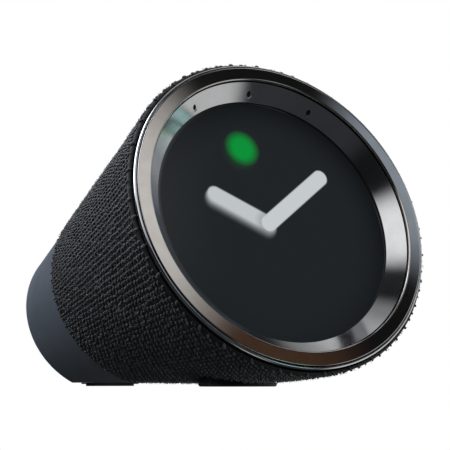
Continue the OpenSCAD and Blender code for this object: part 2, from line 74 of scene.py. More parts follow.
# Quads between neighbours of a rows by columns grid, with either way closed into a loop
def gridFaces(rows, columns, loopRows=False, loopColumns=False):
    i = np.arange(rows if loopRows else rows - 1)[:, None]
    j = np.arange(columns if loopColumns else columns - 1)[None]
    nextI, nextJ = (i + 1) % rows, (j + 1) % columns
    corners = [i * columns + j, i * columns + nextJ, nextI * columns + nextJ, nextI * columns + j]
    return np.stack(np.broadcast_arrays(*corners), -1).reshape(-1, 4)


# Six times the volume between the faces and a point inside them: below zero when they look inwards
def faceSign(points, faces, inside=None):
    corners = points[faces] - (points.mean(0) if inside is None else inside)
    a, b, c, d = corners[:, 0], corners[:, 1], corners[:, 2], corners[:, -1]
    return (a * np.cross(b, c)).sum() + (a * np.cross(c, d)).sum()


# A mesh object from points and faces, merged where points meet, smooth up to an angle
def makePiece(name, points, faces, material, body="speaker_body", slot=None, replaces=(),
              smooth=40, uv=None, inside=None, merge=True):
    points = np.asarray(points, float).reshape(-1, 3)
    if faceSign(points, faces, inside) < 0:
        faces = faces[:, ::-1]
    mesh = bpy.data.meshes.new(name)
    mesh.from_pydata(points.tolist(), [], faces.tolist())
    if uv is not None:
        layer = mesh.uv_layers.new(name="UVMap")
        layer.data.foreach_set("uv", uv.reshape(-1, 2)[faces.ravel()].ravel().astype(np.float32))
    if merge:
        bm = bmesh.new()
        bm.from_mesh(mesh)
        bmesh.ops.remove_doubles(bm, verts=bm.verts, dist=2e-6)
        bm.to_mesh(mesh)
        bm.free()
    mesh.shade_smooth()
    if smooth < 180:
        mesh.set_sharp_from_angle(angle=math.radians(smooth))
    piece = bpy.data.objects.new(name, mesh)
    bpy.context.scene.collection.objects.link(piece)
    mesh.materials.append(material)
    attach(piece, body)
    if replaces:
        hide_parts(*replaces)
    return piece


# A closed outline with each corner cut back by its own length and rounded by a parabola,
# and two points held near each corner so that flats stay flat when shaded
def roundedOutline(corners, cuts, steps=5):
    p = np.array(corners, float)
    cuts = np.broadcast_to(np.array(cuts, float), len(p))[:, None]
    before, after = np.roll(p, 1, 0) - p, np.roll(p, -1, 0) - p
    lengthBefore = np.linalg.norm(before, axis=1, keepdims=True)
    lengthAfter = np.linalg.norm(after, axis=1, keepdims=True)
    start = p + before / lengthBefore * np.minimum(cuts, lengthBefore * 0.45)
    end = p + after / lengthAfter * np.minimum(cuts, lengthAfter * 0.45)
    s = np.linspace(0, 1, steps + 1)[None, :, None]
    arcs = (1 - s) ** 2 * start[:, None] + 2 * s * (1 - s) * p[:, None] + s ** 2 * end[:, None]
    nextStart = np.roll(start, -1, 0)
    hold = np.stack([end + (nextStart - end) * 0.06, end + (nextStart - end) * 0.94], 1)
    return np.concatenate([arcs, hold], 1).reshape(-1, 2)


# Angles that go once round, as a column
def fullTurn(segments):
    return np.linspace(0, 2 * np.pi, segments, endpoint=False)[:, None]


# A closed outline of (radius, depth) turned about the display's axis: x = r sin angle,
# y = r cos angle
def turnedPiece(name, outline, material, segments=256, **more):
    r, d = outline[:, 0], outline[:, 1]
    points = toFrame(r * np.sin(fullTurn(segments)), r * np.cos(fullTurn(segments)), d)
    return makePiece(name, points, gridFaces(segments, len(outline), True, True), material, **more)


# A surface gets a wall, inwards from its face
def giveWall(piece, thickness):
    wall = piece.modifiers.new("wall", "SOLIDIFY")
    wall.thickness, wall.offset = thickness * mm, -1


# One output socket of a material, which ordinary arithmetic can be written with
class Value:
    def __init__(self, tree, socket):
        self.tree, self.socket = tree, socket

    def math(self, operation, *others, clamp=False):
        node = self.tree.nodes.new("ShaderNodeMath")
        node.operation, node.use_clamp = operation, clamp
        for place, value in zip(node.inputs, (self,) + others):
            connect(self.tree, place, value)
        return Value(self.tree, node.outputs[0])

    def __add__(self, other):
        return self.math("ADD", other)

    def __sub__(self, other):
        return self.math("SUBTRACT", other)

    def __mul__(self, other):
        return self.math("MULTIPLY", other)

    def __truediv__(self, other):
        return self.math("DIVIDE", other)

    def __rsub__(self, other):
        return (self * -1).math("ADD", other)

    __radd__, __rmul__ = __add__, __mul__

    def __pow__(self, other):
        return self.math("POWER", other)

    def clamped(self):
        return self.math("ADD", 0.0, clamp=True)

    # 0 below low, 1 above high, and straight between them
    def ramp(self, low, high):
        return ((self - low) * (1 / (high - low))).clamped()


def connect(tree, place, value):
    if isinstance(value, Value):
        tree.links.new(value.socket, place)
    elif isinstance(value, (tuple, list)) and len(value) == 3 and place.type == "RGBA":
        place.default_value = (*value, 1)
    else:
        place.default_value = value


# A node tree being written: node() adds a node, with its settings first
class Shader:
    def __init__(self, tree):
        self.tree = tree
        tree.nodes.clear()

    def node(self, kind, settings=None, inputs=None, output=0):
        made = self.tree.nodes.new("ShaderNode" + kind)
        for name, value in (settings or {}).items():
            if name == "stops":
                ramp = made.color_ramp
                while len(ramp.elements) < len(value):
                    ramp.elements.new(0.5)
                for element, (place, tone) in zip(ramp.elements, value):
                    element.position, element.color = place, (*tone, 1)
            else:
                setattr(made, name, value)
        for name, value in (inputs or {}).items():
            connect(self.tree, made.inputs[name], value)
        return Value(self.tree, made.outputs[output])

    def objectPlace(self):
        return self.node("TexCoord", output="Object")

    def uvPlace(self):
        return self.node("UVMap", {"uv_map": "UVMap"})

    def split(self, vector):
        made = self.tree.nodes.new("ShaderNodeSeparateXYZ")
        connect(self.tree, made.inputs[0], vector)
        return [Value(self.tree, socket) for socket in made.outputs]

    def mix(self, factor, a, b, how="MIX"):
        return self.node("Mix", {"data_type": "RGBA", "blend_type": how},
                         {0: factor, 6: a, 7: b}, output=2)

    def noise(self, scale, detail=2, roughness=0.5, place=None):
        return self.node("TexNoise", {}, {
            "Vector": place or self.objectPlace(), "Scale": scale, "Detail": detail,
            "Roughness": roughness})

    def bump(self, height, strength, distance):
        return self.node("Bump", {}, {"Height": height, "Strength": strength, "Distance": distance})

    # The last node: a surface joined to the output
    def close(self, kind, surface):
        out = self.tree.nodes.new("ShaderNode" + kind)
        self.tree.links.new(surface.socket, out.inputs["Surface"])

    def finish(self, **inputs):
        self.close("OutputMaterial", self.node("BsdfPrincipled", {}, inputs))


def newMaterial(name):
    material = bpy.data.materials.new(name)
    material.use_nodes = True
    return material, Shader(material.node_tree)


# sRGB 0-255 to the linear colour that a shader takes
def colour(r, g, b):
    c = np.array([r, g, b], float) / 255
    return tuple(np.where(c <= 0.04045, c / 12.92, ((c + 0.055) / 1.055) ** 2.4).tolist())


# Each finish: two tones that noise mixes, the roughness range, the grain's size in
# millimetres and its height, and the shader's own constants
finishes = {
    "ring_metal": dict(tones=[(176, 172, 168), (184, 180, 176)], rough=(0.06, 0.09), grain=0.5,
                       bump=0.0004, metal=1, spun=True),
    "trim_chrome": dict(tones=[(196, 198, 202), (206, 208, 212)], rough=(0.08, 0.12), grain=0.6,
                        bump=0.0004, metal=1, spun=True),
    "bezel_mirror": dict(tones=[(186, 187, 189), (193, 194, 196)], rough=(0.09, 0.13), grain=0.6,
                         bump=0.0004, metal=1, spun=True),
    "diffuser_plastic": dict(tones=[(222, 224, 224), (232, 233, 232)], rough=(0.4, 0.55), grain=1.5,
                             bump=0.01),
    "black_foam": dict(tones=[(12, 12, 13), (24, 24, 25)], rough=(0.85, 0.98), grain=0.35, bump=0.08),
    "circuit_board": dict(tones=[(14, 58, 38), (20, 78, 48)], rough=(0.3, 0.45), grain=2.2, bump=0.02),
    "plate_steel": dict(tones=[(150, 152, 155), (172, 174, 177)], rough=(0.3, 0.42), grain=0.8,
                        bump=0.01, metal=1),
    "screw_steel": dict(tones=[(120, 122, 126), (150, 152, 156)], rough=(0.25, 0.4), grain=0.3,
                        bump=0.01, metal=1),
    "black_plastic": dict(tones=[(20, 21, 23), (29, 30, 32)], rough=(0.45, 0.6), grain=0.35,
                          bump=0.02),
    "foot_rubber": dict(tones=[(15, 16, 17), (24, 25, 27)], rough=(0.62, 0.8), grain=0.5, bump=0.03),
    "cap_plastic": dict(tones=[(78, 85, 93), (83, 90, 98)], rough=(0.42, 0.5), grain=0.22,
                        bump=0.012),
    "button_plastic": dict(tones=[(62, 69, 78), (68, 75, 84)], rough=(0.4, 0.5), grain=0.22,
                           bump=0.012),
    "basket_metal": dict(tones=[(70, 71, 74), (90, 91, 94)], rough=(0.4, 0.55), grain=0.6,
                         bump=0.02, metal=1),
    "magnet_steel": dict(tones=[(42, 43, 46), (62, 63, 66)], rough=(0.35, 0.5), grain=0.7,
                         bump=0.02, metal=1),
    "copper_coil": dict(tones=[(160, 84, 44), (196, 108, 60)], rough=(0.25, 0.4), grain=0.3,
                        bump=0.02, metal=1),
    "cone_paper": dict(tones=[(24, 24, 26), (40, 40, 42)], rough=(0.75, 0.9), grain=0.6, bump=0.05),
    "spider_cloth": dict(tones=[(150, 112, 62), (176, 136, 80)], rough=(0.8, 0.95), grain=0.4,
                         bump=0.06),
    "surround_rubber": dict(tones=[(18, 18, 19), (28, 28, 30)], rough=(0.5, 0.65), grain=0.5,
                            bump=0.02),
    "thermal_silicone": dict(tones=[(120, 140, 160), (140, 158, 176)], rough=(0.6, 0.75), grain=0.6,
                             bump=0.03),
    "sink_aluminium": dict(tones=[(160, 163, 167), (184, 187, 190)], rough=(0.28, 0.4), grain=0.5,
                           bump=0.01, metal=1),
    "capacitor_can": dict(tones=[(28, 34, 58), (40, 48, 76)], rough=(0.25, 0.35), grain=1.2,
                          bump=0.01),
    "flat_cable": dict(tones=[(206, 200, 184), (224, 218, 204)], rough=(0.4, 0.5), grain=0.8,
                       bump=0.01),
    "wire_insulation": dict(tones=[(110, 18, 18), (138, 28, 26)], rough=(0.4, 0.5), grain=0.8,
                            bump=0.01),
}


# Scales are per metre; a spun finish has its grain this many times finer across its rings
noiseLook = {"tone": 170, "rough": 60, "spunFineness": 14}


# Two tones mixed by noise, roughness from a coarser noise, and a fine grain as bump; a spun
# finish has its grain drawn out into rings about the display's axis
def plainFinish(name, look):
    material, shade = newMaterial(name)
    low, high = look["rough"]
    place = shade.objectPlace()
    if look.get("spun"):
        across = shade.node("Mapping", {}, {
            "Vector": place, "Location": (0, stance["back"] * mm, -stance["height"] * mm)})
        turned = shade.node("VectorRotate", {"rotation_type": "X_AXIS"},
                            {"Vector": across, "Angle": tilt})
        x, y, z = shade.split(turned)
        radius, fineness = (x * x + z * z) ** 0.5, noiseLook["spunFineness"]
        place = shade.node("CombineXYZ", {}, {"X": radius * fineness, "Y": y * fineness})
    cloud = shade.noise(noiseLook["rough"], 3)
    grain = shade.noise(1000 / look["grain"], 2, 0.6, place)
    shade.finish(**{
        "Base Color": shade.mix(shade.noise(noiseLook["tone"], 4).ramp(0.35, 0.65),
                                colour(*look["tones"][0]), colour(*look["tones"][1])),
        "Roughness": cloud.ramp(0.3, 0.7) * (high - low) + low,
        "Metallic": look.get("metal", 0.0),
        "Normal": shade.bump(grain, 0.5, look["bump"] * mm),
    })
    return material


materials = {name: plainFinish(name, look) for name, look in finishes.items()}
print("finishes:", len(materials))


ringLook = {
    "face": [(49.25, 0.42), (49.6, 0.0), (54.0, 0.42), (54.0, 3.3), (52.2, 3.3), (52.2, 1.5),
             (49.25, 1.0)],
    "cuts": [0.12, 0.16, 0.3, 0.2, 0.2, 0.2, 0.1],
}
turnedPiece("frontRing", roundedOutline(ringLook["face"], ringLook["cuts"]),
            materials["ring_metal"], slot="ring_metal", replaces=["front_ring"], smooth=180)

trimLook = {
    "face": [(54.3, 0.75), (54.7, 0.7), (55.1, 1.1), (55.1, 3.1), (54.6, 3.3), (54.6, 4.4),
             (51.4, 4.4), (51.4, 3.4), (54.3, 3.4)],
    "cuts": [0.08, 0.22, 0.25, 0.1, 0.1, 0.1, 0.1, 0.1, 0.1],
}
turnedPiece("trimRing", roundedOutline(trimLook["face"], trimLook["cuts"]),
            materials["trim_chrome"], slot="trim_chrome", replaces=["trim_ring"], smooth=180)


# A surface over (u, v), closed along u, with round holes let into its grid. Each hole takes a
# block of the grid: its rings are rim (1 - s) + block edge s, then the rim again further down
def holedSurface(us, vs, place, holes):
    columns = len(vs)
    u, v = np.meshgrid(us, vs, indexing="ij")
    points, faces = [place(u, v).reshape(-1, 3)], gridFaces(len(us), columns, True)
    cellI, cellJ = np.divmod(np.arange(len(faces)), columns - 1)
    keep = np.ones(len(faces), bool)
    made, pointCount = [], u.size
    for hole in holes:
        i0, i1, j0, j1 = hole["block"]
        keep &= ~((cellI >= i0) & (cellI < i1) & (cellJ >= j0) & (cellJ < j1))
        i = np.concatenate([np.arange(i0, i1), np.full(j1 - j0, i1), np.arange(i1, i0, -1),
                            np.full(j1 - j0, i0)])
        j = np.concatenate([np.full(i1 - i0, j0), np.arange(j0, j1), np.full(i1 - i0, j1),
                            np.arange(j1, j0, -1)])
        edge = np.stack([us[i], vs[j]], -1)
        rim = hole["rim"](edge)
        s = np.array([0.0, 0.12, 0.4, 0.7, 1.0])[:, None, None]
        ring = rim[None] * (1 - s) + edge[None] * s
        flat = place(ring[..., 0], ring[..., 1])
        down = np.array(hole["down"])[::-1, None, None] * hole["axis"]
        block = np.concatenate([flat[:1] + down, flat], 0)
        made.append(gridFaces(len(block), len(edge), False, True) + pointCount)
        points.append(block.reshape(-1, 3))
        pointCount += len(block) * len(edge)
    return np.concatenate(points), np.concatenate([faces[keep]] + made)


# The bezel's cone from the ring down to the window, as (radius, depth) of its two edges, and
# the lips that it rolls over into; its microphone holes, and the gauze under them
bezelLook = {
    "outer": (48.95, 1.3), "inner": (43.95, 6.35), "outerLip": [(49.18, 1.75), (49.12, 1.36)],
    "innerLip": (43.9, 6.7), "wall": 0.5, "segments": 720, "steps": 25, "holes": 46.0,
    "holeRadius": 0.74, "holeTurns": (-33, -3, 27), "gauzeRadius": 0.72, "gauze": (0.16, 0.7),
}
bezelRun = bezelLook["outer"][0] - bezelLook["inner"][0]
bezelFall = bezelLook["inner"][1] - bezelLook["outer"][1]


# Radius and depth run straight between the two edges as t goes from 0 to 1, and along the lips
# outside that: x = r sin angle, y = r cos angle
def bezelPlace(angle, t):
    edges = [*bezelLook["outerLip"], bezelLook["outer"], bezelLook["inner"], bezelLook["innerLip"]]
    r, d = (np.interp(t, [-2, -1, 0, 1, 2], values) for values in zip(*edges))
    return toFrame(r * np.sin(angle), r * np.cos(angle), d)


lipSteps = [-2, -1.4, -1, -0.5]
bezelT = np.concatenate([lipSteps, np.linspace(0, 1, bezelLook["steps"] + 1), [1.5, 2]])
bezelAngles = np.linspace(-np.pi, np.pi, bezelLook["segments"], endpoint=False)
axisDown = toFrame(0.0, 0.0, 1.0) - toFrame(0.0, 0.0, 0.0)
faceUp = toFrame(0.0, 1.0, 0.0) - toFrame(0.0, 0.0, 0.0)


# A microphone hole: the block of the bezel's grid that it takes, and its rim, where each point
# of the block's edge moves along a ray from the hole's centre to the hole's radius
def micHole(turn):
    angle = math.radians(turn)
    i = round((angle + np.pi) / (2 * np.pi) * bezelLook["segments"])
    j = len(lipSteps) + round((bezelLook["outer"][0] - bezelLook["holes"]) / bezelRun
                              * bezelLook["steps"])
    centre = bezelLook["holes"] * np.array([math.sin(angle), math.cos(angle)])

    def rim(edge):
        r = bezelLook["outer"][0] - edge[:, 1] * bezelRun
        at = np.stack([r * np.sin(edge[:, 0]), r * np.cos(edge[:, 0])], -1) - centre
        at = centre + at / np.linalg.norm(at, axis=1, keepdims=True) * bezelLook["holeRadius"]
        away = np.linalg.norm(at, axis=1)
        return np.stack([np.arctan2(at[:, 0], at[:, 1]),
                         (bezelLook["outer"][0] - away) / bezelRun], -1)

    return {"block": (i - 3, i + 3, j - 5, j + 5), "rim": rim, "axis": axisDown,
            "down": [0.12, 0.5, 1.2]}


bezelPoints, bezelFaces = holedSurface(bezelAngles, bezelT, bezelPlace,
                                       [micHole(turn) for turn in bezelLook["holeTurns"]])
bezel = makePiece("innerBezel", bezelPoints, bezelFaces, materials["bezel_mirror"],
                  slot="bezel_mirror", replaces=["inner_bezel"], smooth=24,
                  inside=toFrame(0.0, 0.0, 300.0))
giveWall(bezel, bezelLook["wall"])

gasketOutline = [(44.0, 6.72), (44.9, 6.72), (44.9, 7.0), (44.0, 7.0)]
turnedPiece("windowGasket", roundedOutline(gasketOutline, 0.06, 2), materials["black_foam"],
            slot="black_foam", replaces=["window_gasket"], smooth=180)

# A dark gauze just under each microphone hole, slanted as the cone is: depth = the cone's
# depth at that radius, and a little more
holeTurns = np.radians(bezelLook["holeTurns"])[:, None, None]
gauzeTurn = fullTurn(24)[None]
gauzeRadius = np.array([0.001, bezelLook["gauzeRadius"], bezelLook["gauzeRadius"], 0.001])
gauzeX = bezelLook["holes"] * np.sin(holeTurns) + gauzeRadius * np.sin(gauzeTurn)
gauzeY = bezelLook["holes"] * np.cos(holeTurns) + gauzeRadius * np.cos(gauzeTurn)
coneDepth = (bezelLook["outer"][1] + (bezelLook["outer"][0] - np.hypot(gauzeX, gauzeY))
             * bezelFall / bezelRun)
gauzePoints = toFrame(gauzeX, gauzeY, coneDepth + np.repeat(bezelLook["gauze"], 2))
for side, disc in zip(("left", "top", "right"), gauzePoints):
    makePiece(side + "MicGauze", disc, gridFaces(24, 4, True), materials["black_foam"],
              slot="black_foam")

# What the display shows, in millimetres on the display plane: hands and one green dot, and the radii
# over which a painted shade from the rim sets in
screenLook = {
    "pivot": (-2.8, -1.5), "hourTip": (-21.5, 8.0), "minuteTip": (21.9, 17.0), "handWidth": 5.6,
    "dot": (-7.6, 26.0), "dotRadius": 4.9, "ground": (29, 33, 36), "hand": (202, 207, 210),
    "green": (4, 146, 56), "mapWidth": 100, "edge": 0.25, "shadow": 1.2, "shadowEdge": 1.6,
    "haloRadius": 12, "halo": 0.05, "trailAt": (-1.2, -1.6), "trailRadius": 8, "trail": 0.55,
    "rimShade": (30, 44),
}


# The lit picture under clear glass: each hand is where the distance from its line is under half
# its width, the dot and its halo come from the distance to its centre, and near the rim a painted
# shade darkens the picture, most on the upper right
def screenFinish(look):
    material, shade = newMaterial("window_glass")
    x, y = ((value - 0.5) * look["mapWidth"] for value in shade.split(shade.uvPlace())[:2])

    # Distance from a straight line between two points, and how far to its left it is
    def capsule(a, b):
        length = math.dist(a, b)
        ux, uy = (b[0] - a[0]) / length, (b[1] - a[1]) / length
        along = (x - a[0]) * ux + (y - a[1]) * uy
        side = (y - a[1]) * ux - (x - a[0]) * uy
        beyond = along - along.math("MAXIMUM", 0.0).math("MINIMUM", length)
        return (beyond * beyond + side * side) ** 0.5, side

    half = look["handWidth"] / 2
    minuteFar = capsule(look["pivot"], look["minuteTip"])[0]
    minute = (half - minuteFar).ramp(-look["edge"], look["edge"])
    shadow = (half + look["shadow"] - minuteFar).ramp(-look["shadowEdge"], look["shadowEdge"])
    hourFar, side = capsule(look["pivot"], look["hourTip"])
    lower = side.math("MAXIMUM", 0.0)
    soft = lower * 0.3 + 0.45
    hour = ((half + 0.1 + lower * 0.2 - hourFar) / (soft * 2) + 0.5).clamped()
    hour = hour * hour * (3 - 2 * hour) * (1 - shadow * 0.35)
    dotX, dotY = x - look["dot"][0], y - look["dot"][1]
    dotFar = (dotX * dotX + dotY * dotY) ** 0.5
    dot = (look["dotRadius"] - dotFar).ramp(-2.0, 1.5)
    halo = (look["haloRadius"] - dotFar).ramp(0, look["haloRadius"]) ** 3 * look["halo"]
    # Painted shade: towards the rim the picture fades to near black, most on the upper right, standing
    # in for the shadow that the raised rim casts into the recess
    away = (x * x + y * y) ** 0.5
    shadeSide = (x * 0.6 + y * 0.8) / away * 0.5 + 0.5
    rimShade = away.ramp(*look["rimShade"]) ** 2 * (shadeSide * 0.7 + 0.15)
    glow = shade.mix(rimShade, colour(*look["ground"]), (0.001, 0.001, 0.001))
    trailX, trailY = dotX - look["trailAt"][0], dotY - look["trailAt"][1]
    trailFar = (trailX * trailX + trailY * trailY) ** 0.5
    trail = (look["trailRadius"] - trailFar).ramp(0, look["trailRadius"]) ** 2 * look["trail"]
    glow = shade.mix((dot + halo).math("MAXIMUM", trail).clamped(), glow,
                     colour(*look["green"]))
    glow = shade.mix(hour * 0.93, glow, colour(*look["hand"]))
    glow = shade.mix(minute, glow, colour(*look["hand"]))
    ground = shade.mix(shade.noise(90, 3), colour(7, 8, 10), colour(10, 11, 13))
    shade.finish(**{
        "Base Color": ground, "Roughness": shade.noise(700, 2).ramp(0.3, 0.7) * 0.04 + 0.4,
        "Emission Color": glow, "Emission Strength": 1.0, "Specular IOR Level": 0.06,
        "Coat IOR": 1.6, "Coat Weight": 1.0, "Coat Roughness": 0.03,
    })
    return material


# The window: a disc whose front edge is a quarter circle, r = radius - edge (1 - sin turn) and
# d = front + edge (1 - cos turn), mapped flat over its face
def windowPiece(radius=44.9, front=7.0, thick=1.6, edge=0.4, chamfer=0.3, segments=192):
    edgeTurn = np.linspace(0.2, 1, 6) * np.pi / 2
    flat = np.concatenate([[0.0001], np.linspace(2, radius - edge, 22)])
    r = np.concatenate([flat, radius - edge * (1 - np.sin(edgeTurn)),
                        [radius, radius - chamfer, 0.0001]])
    d = np.concatenate([np.full(len(flat), front), front + edge * (1 - np.cos(edgeTurn)),
                        [front + thick - chamfer, front + thick, front + thick]])
    x, y = r * np.sin(fullTurn(segments)), r * np.cos(fullTurn(segments))
    uv = np.stack([x, y], -1) / screenLook["mapWidth"] + 0.5
    return makePiece("displayWindow", toFrame(x, y, d), gridFaces(segments, len(r), True),
                     screenFinish(screenLook), slot="window_glass", replaces=["display_window"],
                     uv=uv)


windowPiece()
print("display end made")


# The cloth in millimetres: hem and tail are the radii of its rolled ends, belly and collar how
# far it stands out below and behind the ring. Step is how much of a stitch a row is ahead of
# the row beside it
sleeveLook = {
    "start": 2.5, "end": 99.75, "hem": 0.6, "tail": 0.5, "inset": 0.2, "wall": 0.5,
    "belly": 0.9, "collar": 0.45, "segments": 320,
}
stitchLook = {
    "rows": 172, "pitch": 2.85, "slack": 0.0075, "step": 68 / 172, "length": 1.95,
    "width": 0.7, "height": 0.88, "lean": -29, "meanRadius": 48, "bands": 4,
}

# The sleeve's outline from hem to tail as depth and inset, measured along the cloth: each end
# is part of a circle, and the length between is straight
hemTurn = np.linspace(-0.35, np.pi / 2, 10)
hemDepth = sleeveLook["start"] + sleeveLook["hem"] * (1 - np.cos(hemTurn))
hemInset = sleeveLook["inset"] + sleeveLook["hem"] * (1 - np.sin(hemTurn))
tailTurn = np.linspace(np.pi / 2, -0.2, 7)
tailDepth = sleeveLook["end"] - sleeveLook["tail"] * (1 - np.cos(tailTurn))
tailInset = sleeveLook["inset"] + sleeveLook["tail"] * (1 - np.sin(tailTurn))
middle = np.linspace(hemDepth[-1], tailDepth[0], 90)[1:-1]
sleeveDepth = np.concatenate([hemDepth, middle, tailDepth])
sleeveInset = np.concatenate([hemInset, np.full(len(middle), sleeveLook["inset"]), tailInset])
sleeveRadius = sectionRadius(sleeveDepth) - sleeveInset
clothSteps = np.hypot(np.diff(sleeveDepth), np.diff(sleeveRadius))
sleeveV = np.concatenate([[0], np.cumsum(clothSteps)])
normalR, normalD = np.gradient(sleeveDepth, sleeveV), -np.gradient(sleeveRadius, sleeveV)


# A point of the cloth: angle round the section, length along the outline, height above it.
# The radius grows by belly sin(pi (d - 4) / 44) (-cos angle)^6 below and by a collar that
# starts at the hem and fades out over 26 mm. Under the body the cloth is pressed flat, as far
# above the underside as it is high
def sleevePlace(angle, v, height):
    d = np.interp(v, sleeveV, sleeveDepth)
    r = np.interp(v, sleeveV, sleeveRadius) + height * np.interp(v, sleeveV, normalR)
    fullness = np.sin(np.pi * np.clip((d - 4) / 44, 0, 1)) * np.clip(-np.cos(angle), 0, 1) ** 6
    collar = np.clip(1 - (d - 3) / 26, 0, 1) * np.clip((d - 2.4) / 0.7, 0, 1)
    r = r + sleeveLook["belly"] * fullness + sleeveLook["collar"] * collar ** 1.5
    rise = sectionRise(d)
    d = d + height * np.interp(v, sleeveV, normalD)
    points = toFrame(r * np.sin(angle), rise + r * np.cos(angle), d)
    points[..., 2] = np.maximum(points[..., 2],
                                (stance["underside"] + sleeveLook["inset"] - height) * mm)
    return points


# Two tones from a noise as long as a strand, with the twist of the fibres as bump
def yarnFinish(name, tones, sheen):
    material, shade = newMaterial(name)
    strand = shade.noise(520, 2, 0.5)
    twist = shade.noise(5200, 2, 0.6)
    shade.finish(**{
        "Base Color": shade.mix(strand.ramp(0.32, 0.68), colour(*tones[0]), colour(*tones[1])),
        "Roughness": shade.noise(900, 2).ramp(0.3, 0.7) * 0.15 + 0.55,
        "Normal": shade.bump(twist, 0.5, 0.05 * mm), "Sheen Weight": sheen,
        "Sheen Roughness": 0.35, "Sheen Tint": (0.8, 0.86, 0.95, 1),
    })
    return material


# Painted shade: the ground sheet under the stitches is near black, standing in for the shade deep in
# the gaps between stitches; the yarn itself is mid grey
gapShadeCloth = yarnFinish("knit_gap_shade", [(2, 2, 2), (4, 4, 4)], 0.0)
yarn = yarnFinish("knit_fabric", [(58, 59, 61), (90, 91, 93)], 0.25)
lint = yarnFinish("knit_fuzz", [(70, 71, 74), (110, 111, 115)], 0.3)

clothPoints = sleevePlace(fullTurn(sleeveLook["segments"]), sleeveV[None], 0.0)
clothFaces = gridFaces(sleeveLook["segments"], len(sleeveV), True)
sleeve = makePiece("fabricSleeve", clothPoints, clothFaces, gapShadeCloth, slot="knit_fabric",
                   replaces=["fabric_sleeve"], smooth=180)
giveWall(sleeve, sleeveLook["wall"])


# Each quad as two triangles
def halved(quads):
    return np.concatenate([quads[:, [0, 1, 2]], quads[:, [0, 2, 3]]])


# A stitch: a closed grain from end to end along a and rounded across b, thickest in the
# middle: thickness = sqrt(1 - 0.9 a^2), height dropping by a^2 towards the ends, and its middle
# line swaying to one side by sin(pi a)
def stitchShape(sides=7, rings=7):
    a = np.sin(np.linspace(-1.25, 1.25, rings))[:, None]
    b = np.linspace(0, 2 * np.pi, sides, endpoint=False)[None] + 0.3
    thick = np.sqrt(1 - a ** 2 * 0.9)
    along = np.broadcast_to(a * 0.5, (rings, sides))
    across = thick * np.sin(b) * 0.5 - 0.14 * np.sin(np.pi * a)
    high = thick * np.cos(b) * 0.5 + 0.3 - 0.55 * a ** 2
    grain = np.stack([along, across, high], -1).reshape(-1, 3)
    ends = np.array([[-0.52, 0, -0.3], [0.52, 0, -0.3]])
    walls = gridFaces(rings, sides, False, True)
    k = np.arange(sides)
    nextK, base = (k + 1) % sides, (rings - 1) * sides
    firstTip = np.stack([np.full(sides, rings * sides), nextK, k], -1)
    lastTip = np.stack([np.full(sides, rings * sides + 1), base + k, base + nextK], -1)
    return np.concatenate([grain, ends]), np.concatenate([halved(walls), firstTip, lastTip])


# One small shape repeated at many places: shapes by points, and the faces that join them
def repeatedPiece(name, shapes, faces, material):
    first = np.arange(len(shapes))[:, None, None] * shapes.shape[1]
    return makePiece(name, shapes, (faces[None] + first).reshape(-1, 3), material,
                     slot="knit_fabric", smooth=180, merge=False)


# Stitch n of row k stands at v = pitch / slack (exp(slack m) - 1), m = n + (k step) mod 1,
# so that the stitches stretch towards the narrow end and run in slanting lines
rowNumbers, placeNumbers = np.arange(stitchLook["rows"]), np.arange(-1, 40)
rowAt, placeAt = (a.ravel() for a in np.meshgrid(rowNumbers, placeNumbers, indexing="ij"))
stitchV = stitchLook["pitch"] / stitchLook["slack"] * (np.exp(stitchLook["slack"] * (
    placeAt + (rowAt * stitchLook["step"]) % 1)) - 1) + rng.normal(0, 0.13, len(rowAt))
used = (stitchV > 0.5) & (stitchV < sleeveV[-1] - 0.4)
rowAt, stitchV = rowAt[used], stitchV[used]
stitchAngle = (rowAt + rng.normal(0, 0.07, len(rowAt))) * 2 * np.pi / stitchLook["rows"]
grain, grainFaces = stitchShape()
lean = np.radians(stitchLook["lean"] + rng.normal(0, 6, len(rowAt)))[:, None]
size = rng.uniform(0.85, 1.15, (len(rowAt), 3)) * [
    stitchLook["length"], stitchLook["width"], stitchLook["height"]]
local = grain[None] * size[:, None]
alongV = local[..., 0] * np.cos(lean) - local[..., 1] * np.sin(lean)
alongU = local[..., 0] * np.sin(lean) + local[..., 1] * np.cos(lean)
stitchPoints = sleevePlace(stitchAngle[:, None] + alongU / stitchLook["meanRadius"],
                           np.clip(stitchV[:, None] + alongV, 0, sleeveV[-1]), local[..., 2])

# The rows go into bands of neighbouring rows, each one piece
bandAt = rowAt * stitchLook["bands"] // stitchLook["rows"]
for band in range(stitchLook["bands"]):
    repeatedPiece(f"knitBand{band + 1}", stitchPoints[bandAt == band], grainFaces, yarn)
print("stitches:", len(stitchPoints))

# Loose fibres: thin three-sided hairs that stand out of the cloth and curl over, with height
# = root + reach t (1 - 0.45 t) and a sideways sway that grows with t^1.5
fibreLook = {"count": 10000, "root": 0.1, "reach": (0.5, 1.9), "sway": 0.45, "radius": 0.1,
             "margin": 0.8, "meanRadius": 50}
hairCount = fibreLook["count"]
hairAngle = rng.uniform(0, 2 * np.pi, hairCount)[:, None]
hairV = rng.uniform(fibreLook["margin"], sleeveV[-1] - fibreLook["margin"], hairCount)[:, None]
reach = rng.uniform(*fibreLook["reach"], hairCount)[:, None]
sway = rng.normal(0, fibreLook["sway"], (hairCount, 2))
hairT = np.linspace(0, 1, 4)[None]
hairHeight = fibreLook["root"] + reach * hairT * (1 - 0.45 * hairT)
hairU, hairAlong = sway[:, :1] * hairT ** 1.5, sway[:, 1:] * hairT ** 1.5
hairCore = sleevePlace(hairAngle + hairU / fibreLook["meanRadius"],
                       np.clip(hairV + hairAlong, 0, sleeveV[-1]), hairHeight)
spin = np.linspace(0, 2 * np.pi, 3, endpoint=False)
hairThickness = (fibreLook["radius"] * (1 - 0.75 * hairT))[..., None, None] * mm
sideways = np.stack([np.cos(spin), np.sin(spin), np.sin(spin + 1)], -1)[None, None]
